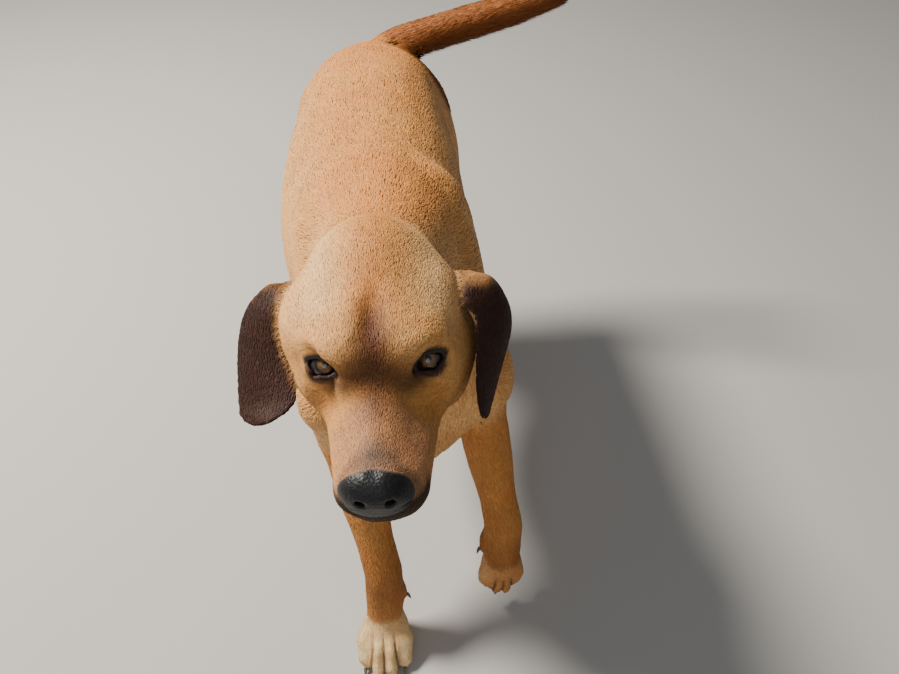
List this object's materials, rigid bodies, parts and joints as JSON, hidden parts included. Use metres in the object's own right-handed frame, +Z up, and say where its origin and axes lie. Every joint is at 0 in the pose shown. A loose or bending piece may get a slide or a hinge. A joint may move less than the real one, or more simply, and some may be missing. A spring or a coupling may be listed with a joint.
{
  "type": "dog",
  "caption": "Life-size short-haired yellow dog caught mid stride, head level and looking ahead, one forefoot lifted, tail swung to its left, for display as a still model.",
  "frame": {"origin": "on the floor, under the middle of the whole dog's box", "axes": "+Z up; the dog faces -Y; +X is towards the dog's own left"},
  "size_m": [0.4002, 0.7952, 0.6026],
  "materials": {
    "coat": "short flat fur, golden tan, paler on the sides, redder along the back",
    "leg_coat": "short flat fur, tan, reddish brown at the wrists",
    "paw_coat": "very short fur, cream",
    "ear_coat": "very short dark brown fur",
    "eye": "wet, glossy, brown iris",
    "claw": "dull horn"
  },
  "bodies": {
    "root": {"claw_fore_left_a": "claw", "claw_fore_left_b": "claw", "claw_fore_left_c": "claw", "claw_fore_left_d": "claw", "claw_fore_right_a": "claw", "claw_fore_right_b": "claw", "claw_fore_right_c": "claw", "claw_fore_right_d": "claw", "claw_hind_left_a": "claw", "claw_hind_left_b": "claw", "claw_hind_left_c": "claw", "claw_hind_left_d": "claw", "claw_hind_right_a": "claw", "claw_hind_right_b": "claw", "claw_hind_right_c": "claw", "claw_hind_right_d": "claw", "dewclaw_fore_left": "claw", "dewclaw_fore_right": "claw", "ear_left": "ear_coat", "ear_right": "ear_coat", "eye_left": "eye", "eye_right": "eye", "fore_paw_left": "paw_coat", "fore_paw_right": "paw_coat", "forearm_left": "leg_coat", "forearm_right": "leg_coat", "head": "coat", "hind_pastern_left": "leg_coat", "hind_pastern_right": "leg_coat", "hind_paw_left": "paw_coat", "hind_paw_right": "paw_coat", "jaw": "coat", "neck": "coat", "shank_left": "coat", "shank_right": "coat", "tail": "coat", "thigh_left": "coat", "thigh_right": "coat", "trunk": "coat", "upper_arm_left": "coat", "upper_arm_right": "coat"}
  },
  "joints": []
}
